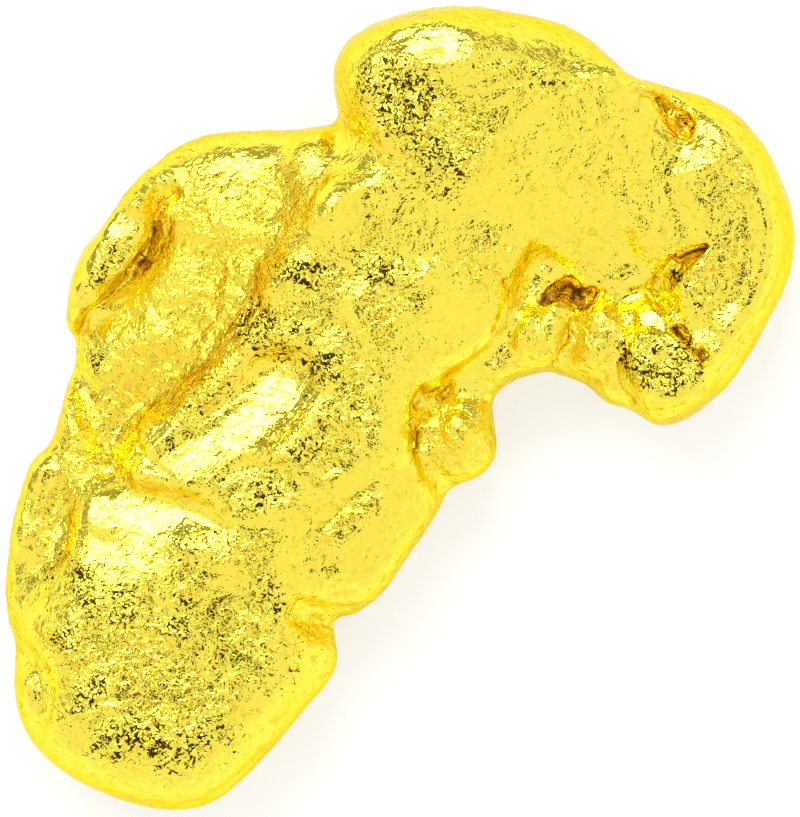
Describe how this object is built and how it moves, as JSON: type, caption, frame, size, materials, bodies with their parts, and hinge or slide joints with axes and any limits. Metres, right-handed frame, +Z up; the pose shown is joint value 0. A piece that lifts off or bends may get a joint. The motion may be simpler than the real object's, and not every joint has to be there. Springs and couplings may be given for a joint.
{
  "type": "gold nugget",
  "caption": "Waterworn nugget of native gold, a lumpy bent slab with a big rounded head and foot, a hooked end round a small bay, and creases and pits between its lobes.",
  "frame": {"origin": "middle of the bounding box in plan, on the surface the nugget rests on", "axes": "+Z up from the resting surface, the nugget's shortest way; +Y from the foot towards the head; +X from the flat shelf side towards the hook"},
  "size_m": [0.0316, 0.0322, 0.0077],
  "materials": {
    "native_gold": "bright, softly hammered, finely pitted"
  },
  "bodies": {
    "root": {"gold_nugget": "native_gold"}
  },
  "joints": []
}
